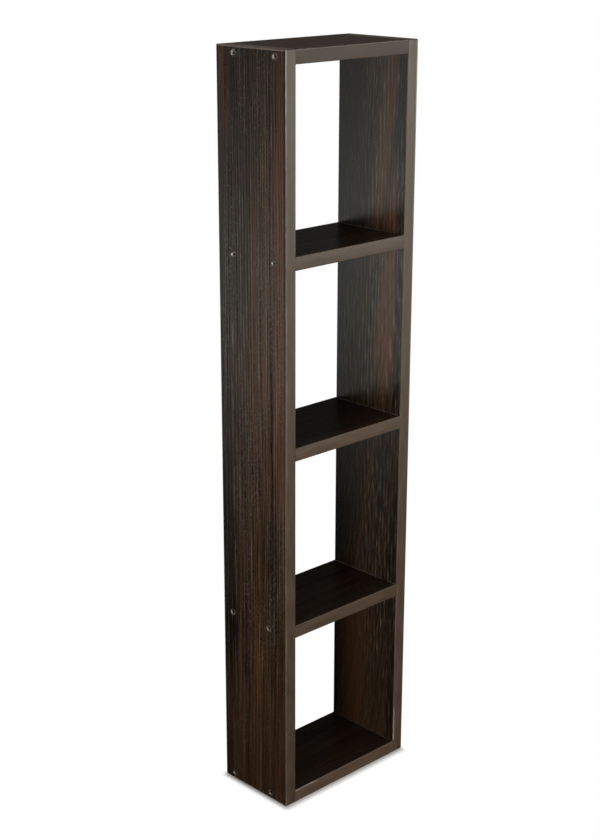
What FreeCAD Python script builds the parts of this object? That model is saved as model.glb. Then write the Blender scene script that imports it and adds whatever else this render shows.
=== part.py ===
import FreeCAD, Part
import os
import Sketcher
from FreeCAD import Placement, Rotation, Vector

# A tall, narrow open rack for books: two full-height sides of laminated particle board with five
# equal boards screwed or dowelled between them, every raw edge covered by a plastic band.
# Frame: X to the right, front at -Y, Z up, origin on the floor under the middle of the rack.

doc = FreeCAD.newDocument("book_rack")
sheet = doc.addObject("Spreadsheet::Sheet", "sizes")

# Driving dimensions, in millimetres
SIZES = {
    # boards: the shelf length is the clear width, the rack's depth is over both bands
    "board_thickness": 18,
    "shelf_length": 200,
    "rack_depth": 125,
    "compartment_height": 235,
    # edge bands: the land is the flat strip left between a rounded arris and the glue line
    "band_thickness": 2,
    "band_land": 1.2,
    # places of the front and back fixing of each board, from the rack's front and back
    "top_panel_front_setback": 18,
    "top_panel_back_setback": 32,
    "upper_shelf_front_setback": 21,
    "upper_shelf_back_setback": 28,
    "middle_shelf_front_setback": 25,
    "middle_shelf_back_setback": 25,
    "lower_shelf_front_setback": 34,
    "lower_shelf_back_setback": 18,
    "bottom_panel_front_setback": 31,
    "bottom_panel_back_setback": 19,
    # screws: countersunk chipboard screws, whose thread stands at its core size
    "screw_length": 50,
    "head_diameter": 9,
    "head_rim": 0.3,
    "head_sink": 0.2,
    "shank_diameter": 4.2,
    "shank_clearance": 0.3,
    "thread_core": 3.2,
    "tip_length": 4.5,
    "pilot_relief": 2,
    # cross recess of a screw, at its mouth and at its floor
    "recess_depth": 2.2,
    "recess_mouth_width": 4.6,
    "recess_mouth_slot": 1.2,
    "recess_floor_width": 2.4,
    "recess_floor_slot": 0.9,
    # dowels: the socket's floor is the board left behind the blind hole in a side
    "dowel_diameter": 8,
    "dowel_length": 30,
    "dowel_chamfer": 1,
    "dowel_end_clearance": 0.5,
    "socket_floor": 6.5,
}

for row, (name, size) in enumerate(SIZES.items(), start=1):
    sheet.set(f"A{row}", name)
    sheet.set(f"B{row}", str(size))
    sheet.setAlias(f"B{row}", name)
doc.recompute()

# Boards between the sides, from the floor up, and the one that no screw holds
LEVELS = ["bottom_panel", "lower_shelf", "middle_shelf", "upper_shelf", "top_panel"]
DOWELLED = "middle_shelf"
SCREWED = [name for name in LEVELS if name != DOWELLED]

# Sizes that follow from the driving ones
PITCH = "(sizes.compartment_height + sizes.board_thickness)"
RACK_HEIGHT = f"({len(LEVELS) - 1} * {PITCH} + sizes.board_thickness)"
CORE_DEPTH = "(sizes.rack_depth - 2 * sizes.band_thickness)"
CORE_HEIGHT = f"({RACK_HEIGHT} - 2 * sizes.band_thickness)"
SIDE_MIDDLE = "(sizes.shelf_length / 2 + sizes.board_thickness / 2)"
SIDE_OUTSIDE = "(sizes.shelf_length / 2 + sizes.board_thickness)"
ARRIS = "(sizes.band_thickness - sizes.band_land)"
SINK_DIAMETER = "(sizes.head_diameter + 2 * (sizes.head_rim + sizes.head_sink))"
SHANK_HOLE = "(sizes.shank_diameter + 2 * sizes.shank_clearance)"
SHANK_END = "(sizes.board_thickness - sizes.head_sink)"
PILOT_DEPTH = f"(sizes.screw_length - {SHANK_END} + sizes.pilot_relief)"
SOCKET_DEPTH = "(sizes.board_thickness - sizes.socket_floor)"
DOWEL_IN_SIDE = f"({SOCKET_DEPTH} - sizes.dowel_end_clearance)"
DOWEL_HOLE_DEPTH = f"(sizes.dowel_length - {DOWEL_IN_SIDE} + sizes.dowel_end_clearance)"
COUNTERSINK_ANGLE = 90


# Places of the boards and of their fixings, which lie at half a board's thickness
def board_underside(name):
    return f"({LEVELS.index(name)} * {PITCH})"


def fixing_height(name):
    return f"({board_underside(name)} + sizes.board_thickness / 2)"


def fixing_depths(name):
    front = f"(sizes.{name}_front_setback - sizes.rack_depth / 2)"
    back = f"(sizes.rack_depth / 2 - sizes.{name}_back_setback)"
    return [front, back]


# Modelling helpers
def value(expression):
    return float(sheet.evalExpression(expression))


def new_body(label):
    body = doc.addObject("PartDesign::Body", label)
    body.Label = label
    return body


def origin_plane(body, role):
    return next(plane for plane in body.Origin.OriginFeatures if plane.Role == role)


def new_sketch(body, name, role, offset="0"):
    sketch = body.newObject("Sketcher::SketchObject", name)
    sketch.AttachmentSupport = [(origin_plane(body, role), "")]
    sketch.MapMode = "FlatFace"
    sketch.setExpression("AttachmentOffset.Base.z", offset)
    return sketch


def pin_point(sketch, geometry, point, across, up):
    """Hold one point of a sketch at two distances from the sketch's origin."""
    axes = [("DistanceX", across, -2), ("DistanceY", up, -1)]
    for kind, expression, axis in axes:
        if expression == "0":
            sketch.addConstraint(Sketcher.Constraint("PointOnObject", geometry, point, axis))
        else:
            distance = Sketcher.Constraint(kind, -1, 1, geometry, point, value(expression))
            index = sketch.addConstraint(distance)
            sketch.setExpression(f"Constraints[{index}]", expression)


def add_polygon(sketch, corners):
    """A closed outline of straight lines through corners given as pairs of expressions."""
    points = [Vector(value(across), value(up), 0) for across, up in corners]
    count = len(points)
    for i in range(count):
        sketch.addGeometry(Part.LineSegment(points[i], points[(i + 1) % count]))
    for i in range(count):
        sketch.addConstraint(Sketcher.Constraint("Coincident", i, 2, (i + 1) % count, 1))
    for i, (across, up) in enumerate(corners):
        pin_point(sketch, i, 1, across, up)


def add_rectangle(sketch, width, height):
    half_width = f"{width} / 2"
    half_height = f"{height} / 2"
    add_polygon(sketch, [
        (f"-{half_width}", f"-{half_height}"),
        (half_width, f"-{half_height}"),
        (half_width, half_height),
        (f"-{half_width}", half_height),
    ])


def add_circles(sketch, diameter, places):
    for across, up in places:
        centre = Vector(value(across), value(up), 0)
        circle = sketch.addGeometry(Part.Circle(centre, Vector(0, 0, 1), value(diameter) / 2))
        pin_point(sketch, circle, 3, across, up)
        index = sketch.addConstraint(Sketcher.Constraint("Diameter", circle, value(diameter)))
        sketch.setExpression(f"Constraints[{index}]", diameter)


def pad(body, sketch, length):
    feature = body.newObject("PartDesign::Pad", f"{sketch.Name}_pad")
    feature.Profile = sketch
    feature.setExpression("Length", length)
    body.Tip = feature
    doc.recompute()
    return feature


def pocket(body, sketch, depth, along_normal):
    """A blind hole; along_normal cuts towards the sketch's normal, otherwise against it."""
    feature = body.newObject("PartDesign::Pocket", f"{sketch.Name}_pocket")
    feature.Profile = sketch
    feature.setExpression("Length", depth)
    feature.Reversed = along_normal
    body.Tip = feature
    doc.recompute()
    return feature


def place(item, rotation, x, y, z):
    item.Placement = Placement(Vector(0, 0, 0), rotation)
    item.setExpression("Placement.Base.x", x)
    item.setExpression("Placement.Base.y", y)
    item.setExpression("Placement.Base.z", z)


def must_be_smaller(body, before, feature_name):
    if body.Shape.Volume >= before:
        raise RuntimeError(f"{feature_name} cut nothing from {body.Label}")


# Side panel: a board on end, drilled and countersunk for screws, with blind sockets for dowels
def side_panel(label, side):
    body = new_body(label)
    outline = new_sketch(body, f"{label}_outline", "XY_Plane", "sizes.band_thickness")
    add_rectangle(outline, "sizes.board_thickness", CORE_DEPTH)
    pad(body, outline, CORE_HEIGHT)
    before = body.Shape.Volume

    places = [(depth, fixing_height(name)) for name in SCREWED for depth in fixing_depths(name)]
    holes = new_sketch(body, f"{label}_screw_places", "YZ_Plane", f"{side} * sizes.board_thickness / 2")
    add_circles(holes, SHANK_HOLE, places)
    doc.recompute()
    drilling = body.newObject("PartDesign::Hole", f"{label}_screw_holes")
    drilling.Profile = holes
    doc.recompute()
    drilling.Threaded = False
    drilling.DepthType = "ThroughAll"
    drilling.HoleCutType = "Countersink"
    drilling.HoleCutCustomValues = True
    drilling.HoleCutCountersinkAngle = COUNTERSINK_ANGLE
    drilling.Reversed = side < 0
    drilling.setExpression("Diameter", SHANK_HOLE)
    drilling.setExpression("HoleCutDiameter", SINK_DIAMETER)
    body.Tip = drilling
    doc.recompute()
    must_be_smaller(body, before, "screw holes")
    before = body.Shape.Volume

    places = [(depth, fixing_height(DOWELLED)) for depth in fixing_depths(DOWELLED)]
    sockets = new_sketch(body, f"{label}_sockets", "YZ_Plane", f"{-side} * sizes.board_thickness / 2")
    add_circles(sockets, "sizes.dowel_diameter", places)
    pocket(body, sockets, SOCKET_DEPTH, side > 0)
    must_be_smaller(body, before, "dowel sockets")
    place(body, Rotation(), f"{side} * {SIDE_MIDDLE}", "0", "0")
    return body


# Board between the sides, with pilot holes for screws or sockets for dowels in both ends
def cross_board(name):
    body = new_body(name)
    outline = new_sketch(body, f"{name}_outline", "XY_Plane")
    add_rectangle(outline, "sizes.shelf_length", CORE_DEPTH)
    pad(body, outline, "sizes.board_thickness")
    before = body.Shape.Volume

    diameter = "sizes.dowel_diameter" if name == DOWELLED else "sizes.thread_core"
    hole_depth = DOWEL_HOLE_DEPTH if name == DOWELLED else PILOT_DEPTH
    places = [(depth, "sizes.board_thickness / 2") for depth in fixing_depths(name)]
    holes = new_sketch(body, f"{name}_end_holes", "YZ_Plane", "sizes.shelf_length / 2")
    add_circles(holes, diameter, places)
    right_end = pocket(body, holes, hole_depth, False)
    both_ends = body.newObject("PartDesign::Mirrored", f"{name}_both_ends")
    both_ends.Originals = [right_end]
    both_ends.MirrorPlane = (origin_plane(body, "YZ_Plane"), [""])
    body.Tip = both_ends
    doc.recompute()
    must_be_smaller(body, before, "end holes")
    place(body, Rotation(), "0", "0", board_underside(name))
    return body


# Edge band: a strip along Z, glued on its face at y = 0, with its free long arrises rounded.
# A band that also covers a corner has its ends and end arrises rounded.
def edge_band(label, length, rotation, x, y, z, rounded_ends=False):
    body = new_body(label)
    section = new_sketch(body, f"{label}_section", "XY_Plane", f"-{length} / 2")
    half_width = "sizes.board_thickness / 2"
    add_polygon(section, [
        (f"-{half_width}", "-sizes.band_thickness"),
        (half_width, "-sizes.band_thickness"),
        (half_width, "0"),
        (f"-{half_width}", "0"),
    ])
    strip = pad(body, section, length)
    front = strip.Shape.BoundBox.YMin
    names = []
    for number, edge in enumerate(strip.Shape.Edges, start=1):
        box = edge.BoundBox
        on_front = abs(box.YMax - front) < Part.Precision.confusion()
        long_arris = on_front and box.ZLength > box.XLength
        end_arris = on_front or box.YLength > Part.Precision.confusion()
        if long_arris or (rounded_ends and end_arris):
            names.append(f"Edge{number}")
    rounding = body.newObject("PartDesign::Fillet", f"{label}_rounding")
    rounding.Base = (strip, names)
    rounding.setExpression("Radius", ARRIS)
    body.Tip = rounding
    place(body, rotation, x, y, z)
    return body


# Cross outline of a screw's recess, its four arms made by quarter turns of the first
def negative(expression):
    return expression[1:] if expression.startswith("-") else f"-{expression}"


def cross_sketch(body, name, offset):
    sketch = new_sketch(body, name, "XY_Plane", offset)
    wide = f"sizes.{name}_width / 2"
    slot = f"sizes.{name}_slot / 2"
    arm = [(wide, slot), (slot, slot), (slot, wide)]
    corners = []
    for turn in range(4):
        corners += arm
        arm = [(negative(up), across) for across, up in arm]
    add_polygon(sketch, corners)
    return sketch


# Countersunk screw along -Z from the top of its head, which tapers at 45 degrees to the shank
def screw_master():
    body = new_body("screw")
    head = "sizes.head_diameter / 2"
    shank = "sizes.shank_diameter / 2"
    core = "sizes.thread_core / 2"
    profile = new_sketch(body, "screw_profile", "XZ_Plane")
    add_polygon(profile, [
        ("0", "0"),
        (head, "0"),
        (head, "-sizes.head_rim"),
        (shank, f"-(sizes.head_rim + {head} - {shank})"),
        (shank, f"-{SHANK_END}"),
        (core, f"-{SHANK_END}"),
        (core, "-(sizes.screw_length - sizes.tip_length)"),
        ("0", "-sizes.screw_length"),
    ])
    turned = body.newObject("PartDesign::Revolution", "screw_turned")
    turned.Profile = profile
    turned.ReferenceAxis = (profile, ["V_Axis"])
    turned.Angle = 360
    body.Tip = turned
    doc.recompute()
    before = body.Shape.Volume

    mouth = cross_sketch(body, "recess_mouth", "0")
    floor = cross_sketch(body, "recess_floor", "-sizes.recess_depth")
    recess = body.newObject("PartDesign::SubtractiveLoft", "screw_recess")
    recess.Profile = mouth
    recess.Sections = [floor]
    recess.Ruled = True
    body.Tip = recess
    doc.recompute()
    must_be_smaller(body, before, "cross recess")
    return body


# Dowel along -Z from its shelf end, with both ends chamfered
def dowel_master():
    body = new_body("dowel")
    radius = "sizes.dowel_diameter / 2"
    end = f"({radius} - sizes.dowel_chamfer)"
    profile = new_sketch(body, "dowel_profile", "XZ_Plane")
    add_polygon(profile, [
        ("0", "0"),
        (end, "0"),
        (radius, "-sizes.dowel_chamfer"),
        (radius, "-(sizes.dowel_length - sizes.dowel_chamfer)"),
        (end, "-sizes.dowel_length"),
        ("0", "-sizes.dowel_length"),
    ])
    turned = body.newObject("PartDesign::Revolution", "dowel_turned")
    turned.Profile = profile
    turned.ReferenceAxis = (profile, ["V_Axis"])
    turned.Angle = 360
    body.Tip = turned
    doc.recompute()
    return body


# Four copies of a fastener, front and back at both ends of one board, each turned on its own axis
def fastener_group(label, master, name, along_x, turns):
    copies = []
    for side in (-1, 1):
        for depth in fixing_depths(name):
            copy = doc.addObject("App::Link", f"{label}_{len(copies) + 1}")
            copy.LinkedObject = master
            outward = Rotation(Vector(0, 1, 0), 90 * side)
            spin = Rotation(Vector(0, 0, 1), turns[len(copies)])
            place(copy, outward * spin, f"{side} * {along_x}", depth, fixing_height(name))
            copies.append(copy)
    group = doc.addObject("Part::Compound", label)
    group.Label = label
    group.Links = copies
    return group


parts = []
parts.append(side_panel("left_side_panel", -1))
parts.append(side_panel("right_side_panel", 1))
for name in LEVELS:
    parts.append(cross_board(name))

# Bands of the sides: front and back over the full height, the ends between them
UPRIGHT = Rotation()
TURNED_BACK = Rotation(Vector(0, 0, 1), 180)
LYING = Rotation(Vector(0, 1, 0), 90)
FACING_UP = Rotation(Vector(1, 0, 0), -90)
FACING_DOWN = Rotation(Vector(1, 0, 0), 90)
GLUE_LINE = f"{CORE_DEPTH} / 2"
for hand, side in (("left", -1), ("right", 1)):
    x = f"{side} * {SIDE_MIDDLE}"
    middle = f"{RACK_HEIGHT} / 2"
    label = f"{hand}_side"
    parts.append(edge_band(f"{label}_front_band", RACK_HEIGHT, UPRIGHT, x, f"-{GLUE_LINE}", middle, True))
    parts.append(edge_band(f"{label}_back_band", RACK_HEIGHT, TURNED_BACK, x, GLUE_LINE, middle, True))
    top = f"{RACK_HEIGHT} - sizes.band_thickness"
    parts.append(edge_band(f"{label}_top_band", CORE_DEPTH, FACING_UP, x, "0", top))
    parts.append(edge_band(f"{label}_bottom_band", CORE_DEPTH, FACING_DOWN, x, "0", "sizes.band_thickness"))

# Bands of the boards between the sides
for name in LEVELS:
    z = fixing_height(name)
    length = "sizes.shelf_length"
    parts.append(edge_band(f"{name}_front_band", length, LYING, "0", f"-{GLUE_LINE}", z))
    parts.append(edge_band(f"{name}_back_band", length, TURNED_BACK * LYING, "0", GLUE_LINE, z))

# Screws, each driven home at its own angle, and the dowels of the middle shelf
HEAD_TOP = f"({SIDE_OUTSIDE} - sizes.head_sink)"
DOWEL_OUTER_END = f"(sizes.shelf_length / 2 + {DOWEL_IN_SIDE})"
PER_BOARD = 4
TURN_STEP = 37
screw = screw_master()
for number, name in enumerate(SCREWED):
    turns = [TURN_STEP * (PER_BOARD * number + i) for i in range(PER_BOARD)]
    parts.append(fastener_group(f"{name}_screws", screw, name, HEAD_TOP, turns))
dowel = dowel_master()
parts.append(fastener_group(f"{DOWELLED}_dowels", dowel, DOWELLED, DOWEL_OUTER_END, [0] * PER_BOARD))

doc.recompute()
for item in doc.Objects:
    if "Invalid" in item.State or "Error" in item.State:
        raise RuntimeError(f"{item.Label} did not compute: {item.State}")
for item in parts:
    if item.Shape.isNull() or not item.Shape.isValid():
        raise RuntimeError(f"{item.Label} has no valid shape")

os.makedirs("parts", exist_ok=True)
for item in parts:
    item.Shape.exportStep(f"parts/{item.Label}.step")
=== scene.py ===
import math

import bmesh
import bpy
from mathutils import Euler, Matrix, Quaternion, Vector


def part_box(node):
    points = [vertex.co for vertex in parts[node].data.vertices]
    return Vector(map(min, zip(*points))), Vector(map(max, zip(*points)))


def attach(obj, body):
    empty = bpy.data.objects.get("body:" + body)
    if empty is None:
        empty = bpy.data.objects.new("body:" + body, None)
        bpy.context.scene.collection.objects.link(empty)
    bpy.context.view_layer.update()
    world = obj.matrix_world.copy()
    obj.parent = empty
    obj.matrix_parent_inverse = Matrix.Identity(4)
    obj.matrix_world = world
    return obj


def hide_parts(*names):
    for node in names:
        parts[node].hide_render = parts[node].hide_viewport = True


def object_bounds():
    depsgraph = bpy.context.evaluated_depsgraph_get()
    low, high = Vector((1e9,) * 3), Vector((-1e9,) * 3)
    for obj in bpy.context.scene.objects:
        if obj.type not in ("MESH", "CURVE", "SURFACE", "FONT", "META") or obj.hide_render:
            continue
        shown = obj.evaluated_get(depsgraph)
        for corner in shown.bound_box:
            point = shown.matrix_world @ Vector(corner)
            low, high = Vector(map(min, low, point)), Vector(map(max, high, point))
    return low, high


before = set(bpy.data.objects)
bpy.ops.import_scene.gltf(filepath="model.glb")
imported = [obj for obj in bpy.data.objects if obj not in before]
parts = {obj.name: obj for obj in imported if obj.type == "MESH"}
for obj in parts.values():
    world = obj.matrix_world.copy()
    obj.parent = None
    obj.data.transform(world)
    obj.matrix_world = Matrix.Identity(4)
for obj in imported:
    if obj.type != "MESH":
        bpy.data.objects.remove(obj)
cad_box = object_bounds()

# Side panels: two full-height particle boards faced with dark wood-grain laminate, the grain upright.
# The print runs in charcoal and brown bands with thin lines and short pores under a satin overlay.
# Bands close their edges; the countersunk screw holes show the raw board, painted dark as shade with dust in
# the holes.
MM = 0.001
HALF_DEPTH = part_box("left_side_panel")[1].y
RIGHT_MIDDLE = sum(corner.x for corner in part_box("right_side_panel")) / 2

COAL = (0.0085, 0.0056, 0.0033)
CHARCOAL = (0.0160, 0.0095, 0.0050)
UMBER = (0.0290, 0.0148, 0.0064)
RUSSET = (0.0820, 0.0325, 0.0115)
TONES = [(0.22, COAL), (0.40, CHARCOAL), (0.56, UMBER), (0.78, RUSSET)]
PALE_LINE = (0.104, 0.072, 0.045)
DARK_LINE = (0.0060, 0.0042, 0.0026)
STIPPLE = (0.090, 0.076, 0.058)
GLUE_LINE = (0.006, 0.004, 0.003)
OVERLAY_TINT = (0.96, 1.0, 0.93, 1.0)
SHADED_RAW_BOARD = [(0.32, (0.06, 0.038, 0.02)), (0.68, (0.17, 0.12, 0.07))]

# Layers of the print, and last the flakes of the raw board, in cells per metre: through the board,
# across the grain and along it.
SWAY = (40, 9, 2.0)
RIPPLE = (60, 50, 16)
BANDS = (60, 34, 0.7)
REDS = (60, 80, 1.1)
BROAD_RINGS = (60, 12, 0.45)
FINE_RINGS = (60, 55, 0.9)
DASHES = (60, 190, 16)
BREAKS = (60, 260, 80)
STREAKS = (60, 740, 7.0)
FIBRES = (60, 1100, 9)
PORES = (60, 760, 260)
CROWDS = (60, 30, 5)
FLAKES = (650, 650, 650)

# Growth rings: how close they lie, how many the noise shifts them by, and where in a ring its pale and
# its dark line fade in.
RINGS_PER_METRE = 200.0
BROAD_SHIFT, FINE_SHIFT = 5.0, 4.6
PALE_RING, DARK_RING = (0.32, 0.47), (0.18, 0.03)

# How strongly the lines and pores show, how far the grain strays from straight, how deep its relief is,
# and where the glue line lies.
PALE_SHOWS, DARK_SHOWS, PORE_SHOWS = 0.68, 0.88, 0.45
SWAY_WIDTH = 18 * MM
RIPPLE_WIDTH = 1.6 * MM
RELIEF = 0.12 * MM
GLUE_FROM, GLUE_TO = HALF_DEPTH - 1.9 * MM, HALF_DEPTH - 0.7 * MM


class Nodes:
    """A tree of nodes, with a short name for each kind of step."""

    def __init__(self, tree):
        self.tree = tree

    def add(self, kind):
        return self.tree.nodes.new(kind)

    def feed(self, socket, value):
        """Give a socket another node's output, or a plain value."""
        if isinstance(value, bpy.types.NodeSocket):
            self.tree.links.new(value, socket)
        elif socket.type == "RGBA":
            socket.default_value = (*value, 1.0)
        else:
            socket.default_value = value

    def maths(self, operation, *values, clamp=False):
        node = self.add("ShaderNodeMath")
        node.operation = operation
        node.use_clamp = clamp
        for socket, value in zip(node.inputs, values):
            self.feed(socket, value)
        return node.outputs[0]

    def plus(self, total, *others):
        for other in others:
            total = self.maths("ADD", total, other)
        return total

    def minus(self, first, second):
        return self.maths("SUBTRACT", first, second)

    def times(self, product, *others):
        for other in others:
            product = self.maths("MULTIPLY", product, other)
        return product

    def over(self, first, second):
        return self.maths("DIVIDE", first, second)

    def either(self, choice, first, second):
        """The first value where the choice is 1, the second where it is 0."""
        return self.maths("MULTIPLY_ADD", choice, self.minus(first, second), second)

    def fade(self, value, start, end, low=0.0, high=1.0):
        """A smooth step from low to high while the value goes from start to end."""
        node = self.add("ShaderNodeMapRange")
        node.interpolation_type = "SMOOTHSTEP"
        names = ("Value", "From Min", "From Max", "To Min", "To Max")
        for name, given in zip(names, (value, start, end, low, high)):
            self.feed(node.inputs[name], given)
        return node.outputs["Result"]

    def blend(self, factor, first, second, mode="MIX"):
        node = self.add("ShaderNodeMix")
        node.data_type = "RGBA"
        node.blend_type = mode
        for index, value in zip((0, 6, 7), (factor, first, second)):
            self.feed(node.inputs[index], value)
        return node.outputs[2]

    def shaded(self, colour, amount):
        """The colour made lighter or darker by a factor."""
        grey = self.add("ShaderNodeCombineColor")
        for socket in grey.inputs[:3]:
            self.feed(socket, amount)
        return self.blend(1.0, colour, grey.outputs[0], "MULTIPLY")

    def colour_stops(self, factor, stops):
        node = self.add("ShaderNodeValToRGB")
        self.feed(node.inputs["Fac"], factor)
        while len(node.color_ramp.elements) < len(stops):
            node.color_ramp.elements.new(0.5)
        for element, (position, colour) in zip(node.color_ramp.elements, stops):
            element.position = position
            element.color = (*colour, 1.0)
        return node.outputs["Color"]

    def place(self):
        return self.add("ShaderNodeTexCoord").outputs["Object"]

    def joined(self, *values):
        node = self.add("ShaderNodeCombineXYZ")
        for socket, value in zip(node.inputs, values):
            self.feed(socket, value)
        return node.outputs[0]

    def parted(self, vector):
        node = self.add("ShaderNodeSeparateXYZ")
        self.feed(node.inputs[0], vector)
        return node.outputs

    def turned(self, vector, turn):
        node = self.add("ShaderNodeMapping")
        self.feed(node.inputs["Vector"], vector)
        node.inputs["Rotation"].default_value = turn
        return node.outputs["Vector"]

    def noise(self, place, per_metre, detail=2.0, roughness=0.5):
        """Noise with so many cells per metre along each axis."""
        mapping = self.add("ShaderNodeMapping")
        self.feed(mapping.inputs["Vector"], place)
        mapping.inputs["Scale"].default_value = per_metre
        node = self.add("ShaderNodeTexNoise")
        self.feed(node.inputs["Vector"], mapping.outputs["Vector"])
        node.inputs["Scale"].default_value = 1.0
        node.inputs["Detail"].default_value = detail
        node.inputs["Roughness"].default_value = roughness
        return node.outputs["Fac"]

    def bump(self, surface, height, strength, depth):
        node = self.add("ShaderNodeBump")
        node.inputs["Strength"].default_value = strength
        node.inputs["Distance"].default_value = depth
        self.feed(node.inputs["Height"], height)
        self.feed(surface.inputs["Normal"], node.outputs["Normal"])


def new_finish(name):
    material = bpy.data.materials.new(name)
    material.use_nodes = True
    return material, Nodes(material.node_tree), material.node_tree.nodes["Principled BSDF"]


def grain_places(sheet, through, across, along, lean, drawn_out):
    """Where the grain lies as it sways and leans along the board, and the same drawn out once more."""
    length = sheet.over(along, drawn_out)
    flow = sheet.joined(through, across, length)
    sway = sheet.times(sheet.noise(flow, SWAY, 1.0), SWAY_WIDTH)
    ripple = sheet.times(sheet.noise(flow, RIPPLE), RIPPLE_WIDTH)
    swayed = sheet.plus(across, sheet.plus(sway, ripple, sheet.times(along, lean)))
    longer = sheet.over(length, drawn_out)
    return sheet.joined(through, swayed, length), sheet.joined(through, swayed, longer)


def printed_tone(sheet, grain, warmth, clarity):
    """The ground of the print: soft bands from coal to russet, with redder veins."""
    bands = sheet.minus(sheet.noise(grain, BANDS, 3.0, 0.55), 0.5)
    bands = sheet.plus(sheet.times(bands, sheet.fade(clarity, 0.2, 1.0, 0.45, 1.0)), 0.5)
    tone = sheet.colour_stops(sheet.plus(bands, warmth), TONES)
    red = sheet.fade(sheet.noise(grain, REDS, 3.0, 0.6), 0.50, 0.66, 0.0, 0.25)
    return sheet.blend(red, tone, RUSSET)


def printed_lines(sheet, grain, long_grain, across, clarity, drawn_out):
    """How much pale line, dark line and pore there is at each spot of the print."""
    coarse = sheet.maths("SQRT", drawn_out)
    growth = sheet.plus(sheet.times(sheet.noise(grain, BROAD_RINGS, 1.0), BROAD_SHIFT),
                        sheet.times(sheet.noise(grain, FINE_RINGS), FINE_SHIFT),
                        sheet.times(across, RINGS_PER_METRE))
    ring = sheet.maths("PINGPONG", sheet.over(growth, sheet.maths("SQRT", coarse)), 0.5)
    dashes = sheet.times(sheet.fade(sheet.noise(long_grain, DASHES, 3.0, 0.6), 0.38, 0.64, 0.05, 1.0),
                         sheet.fade(sheet.noise(long_grain, BREAKS, 2.0, 0.6), 0.32, 0.60, 0.45, 1.15))
    presence = sheet.times(clarity, dashes)
    pale = sheet.times(sheet.fade(ring, *PALE_RING), presence)
    dark = sheet.times(sheet.fade(ring, *DARK_RING), sheet.over(presence, drawn_out))
    crowded = sheet.fade(sheet.noise(grain, CROWDS), 0.40, 0.60, 0.0, 0.11)
    pores = sheet.plus(sheet.noise(long_grain, PORES, 1.0, 0.4), crowded)
    pore = sheet.times(sheet.fade(pores, 0.69, 0.75), sheet.over(clarity, coarse))
    return pale, dark, pore


def wood_laminate(name, turn, figure, gloss, ends=None):
    """Printed wood grain that runs along local Z once the board is turned, its faces along local X."""
    material, sheet, surface = new_finish(name)
    place = sheet.place()
    through, across, along = spot = sheet.parted(sheet.turned(place, turn))
    warmth, clarity, lean, drawn_out = figure(sheet, *spot)
    grain, long_grain = grain_places(sheet, *spot, lean, drawn_out)
    pale, dark, pore = printed_lines(sheet, grain, long_grain, across, clarity, drawn_out)
    streaks = sheet.fade(sheet.noise(grain, STREAKS, 3.0, 0.7), 0.32, 0.68, -0.65, 0.65)
    fibres = sheet.noise(grain, FIBRES, 3.0, 0.6)

    colour = printed_tone(sheet, grain, warmth, clarity)
    colour = sheet.blend(sheet.times(pale, PALE_SHOWS), colour, PALE_LINE)
    colour = sheet.blend(sheet.times(dark, DARK_SHOWS), colour, DARK_LINE)
    colour = sheet.shaded(colour, sheet.plus(1.0, sheet.times(clarity, streaks)))
    colour = sheet.shaded(colour, sheet.fade(fibres, 0.30, 0.70, 0.75, 1.25))
    colour = sheet.blend(sheet.times(pore, PORE_SHOWS), colour, STIPPLE)
    glued = sheet.fade(sheet.maths("ABSOLUTE", across), GLUE_FROM, GLUE_TO)
    colour = sheet.blend(glued, colour, GLUE_LINE)
    if ends:
        colour = ends(sheet, colour, place, *spot)

    facing = sheet.turned(sheet.add("ShaderNodeNewGeometry").outputs["True Normal"], turn)
    cut = sheet.fade(sheet.maths("ABSOLUTE", sheet.parted(facing)[0]), 0.95, 0.85)
    # Cut faces show the raw board, painted dark: painted shade in the holes, with dust.
    shaded_raw = sheet.colour_stops(sheet.noise(place, FLAKES, 3.0, 0.6), SHADED_RAW_BOARD)
    sheet.feed(surface.inputs["Base Color"], sheet.blend(cut, colour, shaded_raw))

    satin = sheet.fade(fibres, 0.3, 0.7, 0.25, 0.36)
    sheet.feed(surface.inputs["Roughness"], sheet.maths("MULTIPLY_ADD", cut, 0.45, satin, clamp=True))
    lines = sheet.plus(sheet.times(sheet.minus(pale, dark), 0.65), sheet.plus(sheet.times(pore, 0.8), 1.0))
    sheet.feed(surface.inputs["Specular IOR Level"], sheet.times(lines, gloss(sheet, *spot)))
    surface.inputs["Specular Tint"].default_value = OVERLAY_TINT
    sheet.bump(surface, sheet.minus(sheet.times(fibres, 0.6), pore), 0.30, RELIEF)
    return material


def cover(part, material):
    for slot in parts[part].material_slots:
        slot.material = material


# Patches of the left board's print: how warm, the back and front edge in mm from the middle, and
# the foot and head in metres. Below zero a patch is more charred than the rest. The first, a warm strip
# at the back of the top, stands in for weaker reflection there: painted light.
LEFT_PATCHES = [(0.42, 70, 41, 0.91, 1.2), (-0.34, 70, 37, 0.19, 0.46), (0.22, -44, -70, 0.60, 0.72),
                (0.13, -42, -70, 0.44, 1.2), (0.10, -42, -70, 0.88, 1.2), (-0.13, -14, -40, -0.2, 0.86)]
# How far a patch fades to each side of its edges: in mm across the board, in metres along it.
SOFT_ACROSS = 4
SOFT_ALONG = 0.05
# How faint the print may get, and how it leans and is drawn out on the right board's inner sheet.
LEAST_CLEAR = 0.15
INNER_LEAN = 0.16
INNER_DRAWN_OUT = 2.4


def patch(sheet, across, along, amount, back, front, foot, head):
    """A soft-edged patch of a board."""
    wide = sheet.times(sheet.fade(across, (back + SOFT_ACROSS) * MM, (back - SOFT_ACROSS) * MM),
                       sheet.fade(across, (front - SOFT_ACROSS) * MM, (front + SOFT_ACROSS) * MM))
    tall = sheet.times(sheet.fade(along, foot - SOFT_ALONG, foot + SOFT_ALONG),
                       sheet.fade(along, head + SOFT_ALONG, head - SOFT_ALONG))
    return sheet.times(amount, sheet.times(wide, tall))


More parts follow.
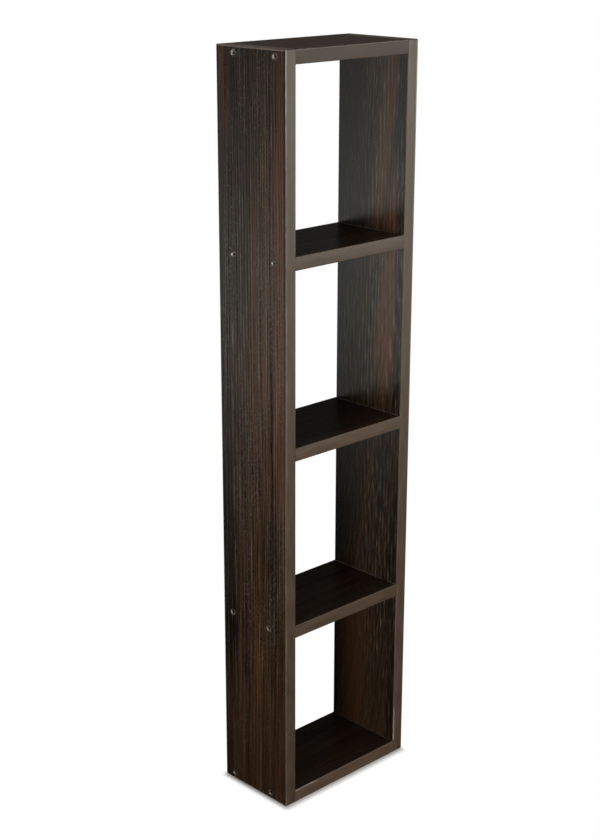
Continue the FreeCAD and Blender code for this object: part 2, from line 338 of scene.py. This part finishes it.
def side_warmth(sheet, across, along):
    """How warm the left and the right board are at each spot: print, with painted light and shade by height.
    """
    front = sheet.fade(across, 45 * MM, -45 * MM, -0.3, 1.0)
    left = sheet.times(front, sheet.minus(sheet.fade(along, 0.98, 0.75, 0.18, 0.30),
                                          sheet.fade(along, 0.54, 0.34, 0.0, 0.18)))
    # The last term darkens the left board toward its top: painted shade.
    left = sheet.plus(left, sheet.fade(along, 0.60, 0.10, -0.03, 0.03),
                      sheet.fade(along, 0.80, 1.0, 0.0, -0.20))
    for amount, *place in LEFT_PATCHES:
        left = sheet.plus(left, patch(sheet, across, along, amount, *place))
    # On the right: warmer at the upper front, darker below the middle, warmer at the foot: painted light and
    # shade.
    warm = sheet.minus(sheet.fade(along, 0.46, 0.66, -0.18, 0.32), sheet.fade(along, 0.78, 0.96, 0.0, 0.18))
    right = sheet.times(sheet.fade(across, 18 * MM, -42 * MM, -0.2, 1.0), warm)
    right = sheet.plus(right, sheet.fade(along, 0.62, 0.50, 0.0, -0.08),
                       sheet.fade(along, 0.32, 0.15, 0.0, 0.20),
                       patch(sheet, across, along, -0.50, -47, -70, -0.2, 1.2))
    return left, right


def side_figure(sheet, through, across, along):
    """How warm and clear the print is, the warmth holding painted light and shade; on the right board's
    inner sheet it leans and is drawn out.
    """
    left, right = side_warmth(sheet, across, along)
    on_right = sheet.maths("GREATER_THAN", through, 0.0)
    clear = sheet.plus(sheet.fade(along, 0.96, 0.60, 0.95, 1.42), sheet.fade(along, 0.50, 0.33, 0.0, 0.3))
    clear = sheet.times(clear, sheet.fade(along, 0.05, 0.32, 0.4, 1.0))
    blurred = sheet.plus(sheet.fade(across, -10 * MM, 30 * MM, -0.02, 0.78),
                         patch(sheet, across, along, 0.35, 70, -70, 0.27, 0.52))
    charred = patch(sheet, across, along, 1.0, 70, 38, 0.22, 0.46)
    clear = sheet.maths("MAXIMUM", sheet.minus(clear, sheet.either(on_right, blurred, charred)), LEAST_CLEAR)
    inner = sheet.times(on_right, sheet.maths("LESS_THAN", through, RIGHT_MIDDLE))
    return (sheet.either(on_right, right, left), clear, sheet.times(inner, INNER_LEAN),
            sheet.either(inner, INNER_DRAWN_OUT, 1.0))


def side_gloss(sheet, through, across, along):
    """The handled left board is duller at its top and foot; the right one shines at its upper front."""
    left = sheet.times(sheet.fade(along, 0.70, 1.0, 0.44, 0.33), sheet.fade(along, 0.05, 0.35, 0.72, 1.0))
    front = sheet.times(sheet.fade(across, 30 * MM, -45 * MM), sheet.fade(along, 0.45, 0.60, 0.0, 0.22))
    right = sheet.plus(sheet.fade(along, 0.70, 0.85, 0.68, 0.75), front)
    return sheet.either(sheet.maths("GREATER_THAN", through, 0.0), right, left)


side_laminate = wood_laminate("side_laminate", (0, 0, 0), side_figure, side_gloss)
cover("left_side_panel", side_laminate)
cover("right_side_panel", side_laminate)

# Top, three shelves and bottom: the same laminated board, all cut to one length, the grain along it.
# They stand between the sides, four of them held by screws and the middle shelf by dowels.
# The saw leaves pale chips in the laminate at both ends.
BOARDS = ["bottom_panel", "lower_shelf", "middle_shelf", "upper_shelf", "top_panel"]
HALF_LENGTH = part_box("top_panel")[1].x
TURNED_OVER = (0, -math.pi / 2, 0)
SHELF_CLEAR = 0.25
SAW_CHIP = (0.40, 0.37, 0.33)
SAW_CHIPS = (400, 90, 400)
CHIPS_FROM, CHIPS_TO = HALF_LENGTH - 2.1 * MM, HALF_LENGTH - 1.4 * MM
# Between these heights, negative once a board is turned over, the top board is told from the rest.
TOP_BOARD = (-0.95, -1.0)


def shelf_figure(sheet, through, across, along):
    """The print of the flat boards is dark and faint; the top board is a little warmer, painted light for
    the light it gets.
    """
    return sheet.fade(through, *TOP_BOARD, -0.08, 0.20), SHELF_CLEAR, 0.0, 1.0


def shelf_gloss(sheet, through, across, along):
    return sheet.fade(through, *TOP_BOARD, 0.42, 0.22)


def saw_chipped(sheet, colour, place, through, across, along):
    """More chips toward the back of a board than at its front, and paler ones farther up the rack."""
    at_end = sheet.fade(sheet.maths("ABSOLUTE", along), CHIPS_FROM, CHIPS_TO)
    fewest = sheet.fade(across, -40 * MM, 30 * MM, -0.45, 0.4)
    torn = sheet.fade(sheet.noise(place, SAW_CHIPS, 3.0, 0.7), 0.34, 0.56, fewest)
    pale = sheet.fade(through, -0.20, -0.02, 0.8, 0.3)
    return sheet.blend(sheet.times(at_end, torn, pale), colour, SAW_CHIP)


shelf_laminate = wood_laminate("shelf_laminate", TURNED_OVER, shelf_figure, shelf_gloss, saw_chipped)
for board in BOARDS:
    cover(board, shelf_laminate)

# Edge bands: plain brown plastic strips, 2 mm thick, glued all round the sides and on the front and
# back of the other boards. Free arrises are scraped round; a pale line along some of them is painted
# highlight, broken in places and with real chips in it, and grime sits beside their upper parts.
# A fine groove shows where a strip meets the laminate or the next strip.
BAND_BROWN = (0.098, 0.064, 0.041)
PAINTED_HIGHLIGHT = (0.44, 0.38, 0.32)
GRIME = (0.010, 0.007, 0.005)
CHIPPED = (0.36, 0.31, 0.26)
BAND_TINT = (0.97, 1.0, 0.90, 1.0)
ARRIS = 0.8 * MM
ARRIS_STEPS = 6
GROOVE = 0.18 * MM
STEP = 10 * MM
SHARP_ABOVE = math.radians(60)
SMOOTH_BELOW = math.radians(40)
HANDS = ("left", "right")
SIDE_BANDS = [f"{hand}_side_{edge}_band" for hand in HANDS for edge in ("front", "back", "top", "bottom")]
BOARD_BANDS = [f"{board}_{edge}_band" for board in BOARDS for edge in ("front", "back")]

# Bands that differ from the rest: their tone, and the one that is darker toward its foot, a painted shade.
# Up to the tone PALER_FROM plastic only gets lighter, and from there to PALEST it turns toward the painted
# highlight colour; the two side top bands go that far, a painted sheen.
BAND_TONES = {"top_panel_front_band": 0.84, "upper_shelf_front_band": 0.96, "middle_shelf_front_band": 1.07,
              "bottom_panel_front_band": 1.25, "left_side_top_band": 1.8, "right_side_top_band": 1.8}
FOOT_SHADE_TONES = {"left_side_front_band": 0.89}
FOOT_REACH = 0.55
PALER_FROM, PALEST = 1.25, 2.0

# Stretches with a painted highlight on one arris: the side of the strip, where they start and end along it,
# and how strong it is.
HIGHLIT_STRETCHES = {"top_panel_front_band": (1, -0.100, 0.100, 0.40),
          "bottom_panel_front_band": (1, -0.100, -0.055, 0.85),
          "right_side_front_band": (-1, 0.020, 0.072, 1.10)}

# Zones across a strip, by distance from its middle, each edge fading from its first place to its second.
HIGHLIGHT_FROM, HIGHLIGHT_TO = (6.1 * MM, 7.0 * MM), (8.7 * MM, 8.3 * MM)
HIGHLIT_ARRIS_FROM, HIGHLIT_ARRIS_TO = (7.3 * MM, 7.9 * MM), (9.6 * MM, 9.2 * MM)
GRIMED_FROM = (8.4 * MM, 8.8 * MM)
DULLED_FROM = (6.4 * MM, 7.4 * MM)

# Layers of the plastic, in cells per metre along the strip and across it.
MOTTLE = (26, 110, 1)
DRAWN_LINES = (9, 1500, 1)
HIGHLIGHT_BREAKS = (60, 500, 1)
BAND_CHIPS = (420, 420, 1)


def band_mesh(part, full_height):
    """A strip that fills the part's box, its long axis, width and thickness told by its size."""
    low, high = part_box(part)
    size = high - low
    length, width, thickness = sorted(range(3), key=lambda axis: -size[axis])
    middle = (low + high) / 2
    rack_middle = (Vector(cad_box[0]) + Vector(cad_box[1])) / 2
    outer = high[thickness] if middle[thickness] > rack_middle[thickness] else low[thickness]
    strip = bmesh.new()
    bmesh.ops.create_cube(strip, size=1.0)
    for vertex in strip.verts:
        vertex.co = [high[axis] if vertex.co[axis] > 0 else low[axis] for axis in range(3)]

    def runs_along(edge):
        first, second = (vertex.co for vertex in edge.verts)
        return abs(first[length] - second[length]) > GROOVE

    def is_free(edge):
        first, second = (vertex.co for vertex in edge.verts)
        run = max(range(3), key=lambda axis: abs(first[axis] - second[axis]))
        outside = run != thickness and abs(first[thickness] - outer) < GROOVE
        if run == length:
            return outside
        return full_height and (outside or run == thickness)

    long_edges = [edge for edge in strip.edges if runs_along(edge)]
    bmesh.ops.subdivide_edges(strip, edges=long_edges, cuts=round(size[length] / STEP))
    free = [edge for edge in strip.edges if is_free(edge)]
    bmesh.ops.bevel(strip, geom=free, offset=ARRIS, segments=ARRIS_STEPS, profile=0.5, affect="EDGES")
    sharp = [edge for edge in strip.edges if edge.calc_face_angle() > SHARP_ABOVE]
    bmesh.ops.bevel(strip, geom=sharp, offset=GROOVE, segments=1, affect="EDGES")

    outer_side, highlit, tone = (strip.verts.layers.float.new(name) for name in ("outer_side", "highlit", "tone"))
    highlit_side, start, end, amount = HIGHLIT_STRETCHES.get(part, (0, 0.0, 0.0, 0.0))
    for vertex in strip.verts:
        offset = vertex.co[width] - middle[width]
        exposed = offset * (middle[width] - rack_middle[width]) > 0
        vertex[outer_side] = 1.0 if full_height and exposed else 0.0
        vertex[highlit] = amount if offset * highlit_side > 0 and start <= vertex.co[length] <= end else 0.0
        # Darker toward the foot: painted shade.
        foot_shade = (1 - FOOT_SHADE_TONES.get(part, 1.0)) * max(0.0, 1 - vertex.co.z / FOOT_REACH)
        vertex[tone] = BAND_TONES.get(part, 1.0) * (1 - foot_shade)
    run = strip.loops.layers.uv.new("strip")
    for face in strip.faces:
        face.smooth = True
        for loop in face.loops:
            offset = loop.vert.co[width] - middle[width]
            depth = abs(loop.vert.co[thickness] - outer)
            loop[run].uv = (loop.vert.co[length], offset + math.copysign(depth, offset))
    mesh = bpy.data.meshes.new(part)
    strip.to_mesh(mesh)
    strip.free()
    mesh.set_sharp_from_angle(angle=SMOOTH_BELOW)
    return mesh


def marked(nodes, name):
    """The value that a mesh carries under a name."""
    node = nodes.add("ShaderNodeAttribute")
    node.attribute_name = name
    return node.outputs["Fac"]


def band_plastic():
    material, plastic, surface = new_finish("edge_band")
    strip = plastic.add("ShaderNodeUVMap")
    strip.uv_map = "strip"
    place = strip.outputs["UV"]
    outer_side, highlit, tone = (marked(plastic, name) for name in ("outer_side", "highlit", "tone"))
    from_middle = plastic.maths("ABSOLUTE", plastic.parted(place)[1])
    height = plastic.parted(plastic.place())[2]

    # Painted highlight: a pale line by the outer arris of the side bands, strong high up, weaker lower, and
    # on the listed stretches.
    highlit_upper = plastic.times(outer_side, plastic.plus(plastic.fade(height, 0.85, 1.05, 0.0, 1.4),
                                               plastic.fade(height, 0.35, 0.65, 0.0, 0.45)))
    highlight_zone = plastic.times(plastic.fade(from_middle, *HIGHLIGHT_FROM), plastic.fade(from_middle, *HIGHLIGHT_TO))
    highlit_low = plastic.times(outer_side, plastic.fade(height, 0.55, 0.40, 0.0, 0.14))
    on_arris = plastic.times(plastic.fade(from_middle, *HIGHLIT_ARRIS_FROM), plastic.fade(from_middle, *HIGHLIT_ARRIS_TO))
    highlight = plastic.plus(plastic.times(plastic.plus(highlit, highlit_low), on_arris),
                           plastic.times(highlit_upper, highlight_zone))
    grimed = plastic.times(outer_side, plastic.fade(height, 0.40, 0.85), plastic.fade(from_middle, *GRIMED_FROM))

    mottle = plastic.noise(place, MOTTLE, 3.0)
    drawn = plastic.noise(place, DRAWN_LINES, 3.0)
    shade = plastic.times(plastic.fade(mottle, 0.3, 0.7, 0.86, 1.14),
                          plastic.fade(drawn, 0.3, 0.7, 0.86, 1.14))
    # Tones past PALER_FROM turn toward the highlight colour: painted sheen on the two side top bands.
    colour = plastic.blend(plastic.fade(tone, PALER_FROM, PALEST, 0.0, 0.26), BAND_BROWN, PAINTED_HIGHLIGHT)
    colour = plastic.shaded(colour, plastic.times(shade, plastic.maths("MINIMUM", tone, PALER_FROM)))
    colour = plastic.blend(plastic.times(grimed, 0.95), colour, GRIME)
    # The painted highlight is broken up by noise; the chips within it are wear.
    broken = plastic.fade(plastic.noise(place, HIGHLIGHT_BREAKS, 4.0, 0.65), 0.34, 0.62, 0.25, 1.0)
    colour = plastic.blend(plastic.times(highlight, broken), colour, PAINTED_HIGHLIGHT)
    chip = plastic.fade(plastic.noise(place, BAND_CHIPS, 2.0, 0.6), 0.66, 0.72)
    colour = plastic.blend(plastic.times(highlight, chip), colour, CHIPPED)
    plastic.feed(surface.inputs["Base Color"], colour)

    plastic.feed(surface.inputs["Roughness"], plastic.fade(mottle, 0.3, 0.7, 0.34, 0.43))
    sheen = plastic.fade(tone, 0.7, 1.0, 0.05, plastic.fade(height, 0.35, 0.65, 0.5, 0.56))
    dulled = plastic.fade(plastic.times(from_middle, outer_side), *DULLED_FROM, 1.0, 0.4)
    plastic.feed(surface.inputs["Specular IOR Level"], plastic.times(sheen, dulled))
    surface.inputs["Specular Tint"].default_value = BAND_TINT
    plastic.bump(surface, drawn, 0.12, 0.05 * MM)
    return material


edge_band = band_plastic()
for part in SIDE_BANDS + BOARD_BANDS:
    full_height = part.endswith(("side_front_band", "side_back_band"))
    strip = bpy.data.objects.new(f"{part}_strip", band_mesh(part, full_height))
    strip.data.materials.append(edge_band)
    bpy.context.scene.collection.objects.link(strip)
    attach(strip, "root")
    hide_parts(part)

# Screws: zinc-plated countersunk chipboard screws with dished heads, a cross recess and a rolled thread.
# Two go through each side into the end of the top, the bottom and two of the shelves.
# The recess is painted dark: painted shade, with a little dirt.
HEAD = 9.0 * MM
SCREW_SIZES = {
    "Head Diameter": HEAD, "Head Rim": 0.35 * MM, "Head Dish": 0.9 * MM,
    "Shank Diameter": 4.2 * MM, "Shank Length": 14 * MM, "Core Diameter": 3.2 * MM,
    "Screw Length": 50 * MM, "Tip Length": 4.5 * MM, "Thread Pitch": 2.0 * MM,
    "Recess Width": 4.6 * MM, "Recess Slot": 1.2 * MM, "Recess Depth": 2.2 * MM}
RECESS_TAPER = 0.55
RECESS_SUNK = 0.995
RECESS_REACH = 0.55
RECESS_TURNS = (20, 57, 94, 131)
DISH_SHARE = 0.60
POINT = 0.1 * MM
SCREW_SIDES = 40
THREAD_STEPS = 16
FLANK_SIDES = 4
CREASE_ABOVE = math.radians(25)
ZINC = (0.45, 0.40, 0.345)
RECESS_SHADE_AND_DIRT = (0.03, 0.025, 0.02)
CLOUD = (900, 900, 900)
SCRATCHES = (300, 2600, 5200)
TARNISH = (420, 420, 420)


def screw_tree(material):
    """Screws on points: local Z points out of the head, and each point's aim turns it."""
    tree = bpy.data.node_groups.new("countersunk_screws", "GeometryNodeTree")
    tree.interface.new_socket("Geometry", in_out="INPUT", socket_type="NodeSocketGeometry")
    for name in SCREW_SIZES:
        tree.interface.new_socket(name, in_out="INPUT", socket_type="NodeSocketFloat")
    tree.interface.new_socket("Geometry", in_out="OUTPUT", socket_type="NodeSocketGeometry")
    screw = Nodes(tree)
    given = screw.add("NodeGroupInput").outputs
    result = screw.add("NodeGroupOutput").inputs

    def node(kind, settings=(), **values):
        made = screw.add(kind)
        for name, value in dict(settings).items():
            setattr(made, name, value)
        for name, value in values.items():
            screw.feed(made.inputs[name.replace("_", " ")], value)
        return made

    def upright(height):
        return node("ShaderNodeCombineXYZ", Z=height).outputs[0]

    def moved(geometry, height):
        return node("GeometryNodeTransform", Geometry=geometry, Translation=upright(height)).outputs[0]

    head_radius = screw.over(given["Head Diameter"], 2.0)
    shank_radius = screw.over(given["Shank Diameter"], 2.0)
    core_radius = screw.over(given["Core Diameter"], 2.0)
    cone_depth = screw.minus(head_radius, shank_radius)
    head_depth = screw.plus(cone_depth, given["Head Rim"])
    core_end = screw.minus(given["Screw Length"], given["Tip Length"])
    thread_height = screw.minus(core_end, given["Shank Length"])
    ngon = {"fill_type": "NGON"}

    cone = node("GeometryNodeMeshCone", ngon, Vertices=SCREW_SIDES, Radius_Top=head_radius,
                Radius_Bottom=shank_radius, Depth=cone_depth)
    rim = node("GeometryNodeExtrudeMesh", Mesh=cone.outputs["Mesh"], Selection=cone.outputs["Top"],
               Offset_Scale=given["Head Rim"])
    sunk = node("GeometryNodeExtrudeMesh", Mesh=rim.outputs["Mesh"], Selection=rim.outputs["Top"],
                Offset_Scale=screw.times(given["Head Dish"], -1.0))
    dished = node("GeometryNodeScaleElements", Geometry=sunk.outputs["Mesh"], Selection=sunk.outputs["Top"],
                  Scale=DISH_SHARE)
    head = moved(dished.outputs["Geometry"], screw.times(head_depth, -1.0))

    wing = node("GeometryNodeMeshCone", ngon, Vertices=4, Radius_Top=math.sqrt(0.5),
                Radius_Bottom=math.sqrt(0.5) * RECESS_TAPER, Depth=given["Recess Depth"])
    square = node("GeometryNodeTransform", Geometry=wing.outputs["Mesh"], Rotation=(0, 0, math.pi / 4))
    stretch = node("ShaderNodeCombineXYZ", X=given["Recess Width"], Y=given["Recess Slot"], Z=1.0)
    slot = node("GeometryNodeTransform", Geometry=square.outputs[0], Scale=stretch.outputs[0],
                Translation=upright(screw.times(given["Recess Depth"], -RECESS_SUNK)))
    crossed = node("GeometryNodeTransform", Geometry=slot.outputs[0], Rotation=(0, 0, math.pi / 2))
    cut = node("GeometryNodeMeshBoolean", {"operation": "DIFFERENCE", "solver": "EXACT"})
    tree.links.new(head, cut.inputs["Mesh 1"])
    tree.links.new(slot.outputs[0], cut.inputs["Mesh 2"])
    tree.links.new(crossed.outputs[0], cut.inputs["Mesh 2"])

    shank = node("GeometryNodeMeshCylinder", ngon, Vertices=SCREW_SIDES, Radius=shank_radius,
                 Depth=screw.minus(given["Shank Length"], head_depth))
    shank_at = screw.times(screw.plus(given["Shank Length"], head_depth), -0.5)
    core = node("GeometryNodeMeshCylinder", ngon, Vertices=SCREW_SIDES, Radius=core_radius,
                Depth=thread_height)
    core_at = screw.times(screw.plus(core_end, given["Shank Length"]), -0.5)
    tip = node("GeometryNodeMeshCone", ngon, Vertices=SCREW_SIDES, Radius_Top=core_radius,
               Radius_Bottom=POINT, Depth=given["Tip Length"])
    turns = screw.over(thread_height, given["Thread Pitch"])
    spiral = node("GeometryNodeCurveSpiral", Resolution=THREAD_STEPS, Rotations=turns,
                  Start_Radius=core_radius, End_Radius=core_radius, Height=thread_height)
    flank = node("GeometryNodeCurvePrimitiveCircle", Resolution=FLANK_SIDES,
                 Radius=screw.minus(shank_radius, core_radius))
    thread = node("GeometryNodeCurveToMesh", Curve=spiral.outputs[0], Profile_Curve=flank.outputs[0])
    thread.inputs["Fill Caps"].default_value = True

    whole = node("GeometryNodeJoinGeometry")
    for piece in (cut.outputs["Mesh"], moved(shank.outputs["Mesh"], shank_at),
                  moved(core.outputs["Mesh"], core_at),
                  moved(tip.outputs["Mesh"], screw.times(given["Screw Length"], -1.0)),
                  moved(thread.outputs["Mesh"], screw.times(core_end, -1.0))):
        tree.links.new(piece, whole.inputs[0])

    x, y, z = screw.parted(node("GeometryNodeInputPosition").outputs[0])
    reach = screw.maths("SQRT", screw.plus(screw.times(x, x), screw.times(y, y)))
    near_axis = screw.maths("LESS_THAN", reach, screw.times(given["Recess Width"], RECESS_REACH))
    in_recess = screw.times(near_axis, screw.over(screw.times(z, -1.0), given["Recess Depth"]))
    noted = node("GeometryNodeStoreNamedAttribute", {"data_type": "FLOAT", "domain": "POINT"},
                 Geometry=whole.outputs[0], Name="recess", Value=in_recess)
    smooth = node("GeometryNodeSetShadeSmooth", {"domain": "FACE"}, Geometry=noted.outputs[0])
    angle = node("GeometryNodeInputMeshEdgeAngle").outputs["Unsigned Angle"]
    creased = node("GeometryNodeSetShadeSmooth", {"domain": "EDGE"}, Geometry=smooth.outputs[0],
                   Selection=screw.maths("GREATER_THAN", angle, CREASE_ABOVE))
    creased.inputs["Shade Smooth"].default_value = False

    aim = node("GeometryNodeInputNamedAttribute", {"data_type": "FLOAT_VECTOR"}, Name="aim")
    turn = node("FunctionNodeEulerToRotation", Euler=aim.outputs["Attribute"])
    placed = node("GeometryNodeInstanceOnPoints", Points=given["Geometry"], Instance=creased.outputs[0],
                  Rotation=turn.outputs[0])
    real = node("GeometryNodeRealizeInstances", Geometry=placed.outputs[0])
    plated = node("GeometryNodeSetMaterial", Geometry=real.outputs[0])
    plated.inputs["Material"].default_value = material
    tree.links.new(plated.outputs[0], result["Geometry"])
    return tree


def zinc_plate():
    material, zinc, surface = new_finish("screw_zinc")
    place = zinc.place()
    cloud = zinc.noise(place, CLOUD, 3.0)
    tarnish = zinc.fade(zinc.noise(place, TARNISH), 0.40, 0.58, 0.45, 1.0)
    colour = zinc.shaded(ZINC, zinc.times(zinc.fade(cloud, 0.3, 0.7, 0.8, 1.15), tarnish))
    # Painted shade in the recess, with a little dirt.
    shaded_recess = zinc.fade(marked(zinc, "recess"), 0.02, 0.6)
    zinc.feed(surface.inputs["Base Color"], zinc.blend(zinc.times(shaded_recess, 0.85), colour, RECESS_SHADE_AND_DIRT))
    surface.inputs["Metallic"].default_value = 1.0
    zinc.feed(surface.inputs["Roughness"], zinc.fade(cloud, 0.3, 0.7, 0.40, 0.56))
    zinc.bump(surface, zinc.noise(place, SCRATCHES), 0.15, 0.03 * MM)
    return material


screw_zinc = zinc_plate()
countersunk_screws = screw_tree(screw_zinc)
for board in BOARDS:
    part = f"{board}_screws"
    if part not in parts:
        continue
    low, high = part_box(part)
    rows = (low.y + HEAD / 2, high.y - HEAD / 2)
    heads = [(x, y, (low.z + high.z) / 2) for x in (low.x, high.x) for y in rows]
    points = bpy.data.meshes.new(f"{part}_heads")
    points.from_pydata(heads, [], [])
    aims = points.attributes.new("aim", "FLOAT_VECTOR", "POINT")
    for item, place, turn in zip(aims.data, heads, RECESS_TURNS):
        outward = Quaternion((0, 1, 0), math.copysign(math.pi / 2, place[0]))
        item.vector = (outward @ Quaternion((0, 0, 1), math.radians(turn))).to_euler()
    screws = bpy.data.objects.new(f"{part}_set", points)
    bpy.context.scene.collection.objects.link(screws)
    maker = screws.modifiers.new("screws", "NODES")
    maker.node_group = countersunk_screws
    for socket in countersunk_screws.interface.items_tree:
        if socket.in_out == "INPUT" and socket.name in SCREW_SIZES:
            maker[socket.identifier] = SCREW_SIZES[socket.name]
    made = bpy.data.meshes.new_from_object(screws.evaluated_get(bpy.context.evaluated_depsgraph_get()))
    screws.modifiers.remove(maker)
    screws.data = made
    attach(screws, "root")
    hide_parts(part)

# Dowels: four plain beech pegs, glued into blind holes in the sides and the ends of the middle shelf.
# They hold that shelf without a screw and lie wholly inside the boards.
BEECH = (0.50, 0.34, 0.20)
BEECH_FLECK = (0.28, 0.15, 0.07)
PEG_GRAIN = (18, 700, 700)
PEG_FLECKS = (160, 1500, 1500)
dowel_wood, beech, beech_surface = new_finish("dowel_wood")
peg_grain = beech.noise(beech.place(), PEG_GRAIN, 3.0, 0.6)
flecks = beech.fade(beech.noise(beech.place(), PEG_FLECKS, 1.0), 0.64, 0.72)
peg_colour = beech.shaded(BEECH, beech.fade(peg_grain, 0.3, 0.7, 0.8, 1.15))
peg_colour = beech.blend(beech.times(flecks, 0.5), peg_colour, BEECH_FLECK)
beech.feed(beech_surface.inputs["Base Color"], peg_colour)
beech.feed(beech_surface.inputs["Roughness"], beech.fade(peg_grain, 0.3, 0.7, 0.55, 0.70))
beech.bump(beech_surface, peg_grain, 0.3, 0.1 * MM)
cover("middle_shelf_dowels", dowel_wood)

# Studio floor: one pale sweep that shows white to the camera and keeps the soft shadow at the foot.
# In mirrored light it is dark beside the rack and pale farther out, as a lit sweep looks from there.
FLOOR_RADIUS = 6.0
FLOOR_SIDES = 96
# The floor's own colour is warm, seen only in the shadow at the foot: painted bounce light from the rack.
FLOOR_PAINTED_BOUNCE = (0.95, 0.90, 0.85)
FLOOR_BOUNCE = (0.12, 0.12, 0.12)
FLOOR_MIRRORED = (0.02, 0.02, 0.02)
SHADOW_REACH = 0.011
SHADOW_INSET = 6 * MM
SHADOW_IN_DEPTH = 0.84
SHADOW_DARK = 0.06
MIRROR_PALE_FROM, MIRROR_PALE_TO = (0.6, 2.8), (3.5, FLOOR_RADIUS)
scene = bpy.context.scene
scene.view_settings.view_transform = "Standard"
disc = bmesh.new()
bmesh.ops.create_circle(disc, cap_ends=True, radius=FLOOR_RADIUS, segments=FLOOR_SIDES)
floor_mesh = bpy.data.meshes.new("floor")
disc.to_mesh(floor_mesh)
disc.free()
floor = bpy.data.objects.new("floor", floor_mesh)
scene.collection.objects.link(floor)

floor_paint = bpy.data.materials.new("floor_paint")
floor_paint.use_nodes = True
floor_paint.node_tree.nodes.clear()
sweep = Nodes(floor_paint.node_tree)
ray = sweep.add("ShaderNodeLightPath").outputs
spot = sweep.parted(sweep.place())
beside = []
for axis, share in ((0, 1.0), (1, SHADOW_IN_DEPTH)):
    before = sweep.minus(cad_box[0][axis], spot[axis])
    beyond = sweep.minus(spot[axis], cad_box[1][axis] - SHADOW_INSET)
    outside = sweep.maths("MAXIMUM", 0.0, sweep.maths("MAXIMUM", before, beyond))
    beside.append(sweep.times(outside, share))
away = sweep.maths("SQRT", sweep.plus(*(sweep.times(reach, reach) for reach in beside)))
seen_white = sweep.times(ray["Is Camera Ray"], sweep.fade(away, 0.0, SHADOW_REACH, SHADOW_DARK, 1.0))
mirrored = sweep.maths("MAXIMUM", ray["Is Glossy Ray"], ray["Is Transmission Ray"])
mirrored_white = sweep.times(mirrored, sweep.times(sweep.fade(away, *MIRROR_PALE_FROM, 0.0, 0.85),
                                                   sweep.fade(away, *MIRROR_PALE_TO, 1.0, 0.5)))
matt = sweep.add("ShaderNodeBsdfDiffuse")
unseen = sweep.blend(mirrored, FLOOR_BOUNCE, FLOOR_MIRRORED)
# Camera rays see the warm floor colour in the shadow: painted bounce light.
sweep.feed(matt.inputs["Color"], sweep.blend(ray["Is Camera Ray"], unseen, FLOOR_PAINTED_BOUNCE))
glow = sweep.add("ShaderNodeEmission")
painted = sweep.add("ShaderNodeMixShader")
sweep.feed(painted.inputs[0], sweep.maths("MAXIMUM", seen_white, mirrored_white))
sweep.feed(painted.inputs[1], matt.outputs[0])
sweep.feed(painted.inputs[2], glow.outputs[0])
sweep.feed(sweep.add("ShaderNodeOutputMaterial").inputs["Surface"], painted.outputs[0])
floor.data.materials.append(floor_paint)

# Studio room: plain walls that show white to the camera and give the rack an even low fill.
# In mirrored light they are pale near the horizon, more so in front, and dim above it.
WALL_FILL = 0.05
WALL_WHITE = (1.0, 1.0, 1.0)
HORIZON_FRONT, HORIZON_BACK = 0.50, 0.27
HORIZON_RISE = 0.18
ABOVE = 0.02
room = bpy.data.worlds.new("room")
scene.world = room
room.use_nodes = True
walls = Nodes(room.node_tree)
background = room.node_tree.nodes["Background"].inputs
eye = walls.add("ShaderNodeLightPath").outputs
_, depth, rise = walls.parted(walls.add("ShaderNodeTexCoord").outputs["Generated"])
horizon = walls.fade(depth, -0.4, 0.4, HORIZON_FRONT, HORIZON_BACK)
reflected = walls.fade(rise, 0.0, HORIZON_RISE, horizon, ABOVE)
wall_mirrored = walls.maths("MAXIMUM", eye["Is Glossy Ray"], eye["Is Transmission Ray"])
fill = walls.either(wall_mirrored, reflected, WALL_FILL)
walls.feed(background["Strength"], walls.maths("MAXIMUM", fill, eye["Is Camera Ray"]))
walls.feed(background["Color"], WALL_WHITE)

# Lamps: a broad softbox overhead, a narrow key at the left, a card at the front right, and two fills.
# The left card shows only in gloss, on the left side and its screws; the key and the back fill never do.
# Each has its place, aim, width, height, power and spread.
LAMPS = [
    ("overhead", (-0.3, -0.4, 2.5), (0, 0, 0.4), 1.6, 1.6, 10, 180),
    ("left_key", (-3.0, -1.3, 0.6), (0, 0, 0.40), 1.0, 1.0, 6.0, 50),
    ("left_card", (-3.0, -1.3, 0.45), (0, 0, 0.40), 2.0, 2.0, 13, 70),
    ("front_fill", (0.3, -3.1, 0.6), (0, 0, 0.45), 1.0, 1.0, 3.0, 60),
    ("front_card", (1.7, -1.9, 1.05), (0, 0, 0.8), 1.1, 1.2, 12, 180),
    ("back_fill", (1.7, 2.3, 0.30), (0, 0, 0.50), 1.2, 0.5, 12, 180)]
OUT_OF_GLOSS = ("left_key", "back_fill")
ONLY_IN_GLOSS = ("left_card",)
for name, place, target, width, height, power, spread in LAMPS:
    lamp = bpy.data.lights.new(name, "AREA")
    lamp.shape = "RECTANGLE"
    lamp.size, lamp.size_y = width, height
    lamp.energy = power
    lamp.spread = math.radians(spread)
    stand = bpy.data.objects.new(name, lamp)
    stand.location = place
    stand.rotation_euler = (Vector(target) - Vector(place)).to_track_quat("-Z", "Y").to_euler()
    stand.visible_camera = False
    stand.visible_glossy = name not in OUT_OF_GLOSS
    stand.visible_diffuse = name not in ONLY_IN_GLOSS
    scene.collection.objects.link(stand)

# Camera: stands at the front left of the rack and above its middle, aimed at about half height.
# A small shift sets the rack in the frame.
AIM = Vector((-0.0455, 0.0, 0.5184))
AZIMUTH = math.radians(-43.647)
ELEVATION = math.radians(18.543)
DISTANCE = 2.1403
LENS = 68.039
SHIFT = (0.00849, 0.01502)
lens = bpy.data.cameras.new("camera")
lens.lens = LENS
lens.shift_x, lens.shift_y = SHIFT
camera = bpy.data.objects.new("camera", lens)
view = Euler((0, 0, AZIMUTH)).to_quaternion() @ Vector((0, -1, math.tan(ELEVATION)))
camera.location = AIM + view.normalized() * DISTANCE
camera.rotation_euler = (-view).to_track_quat("-Z", "Y").to_euler()
scene.collection.objects.link(camera)
scene.camera = camera
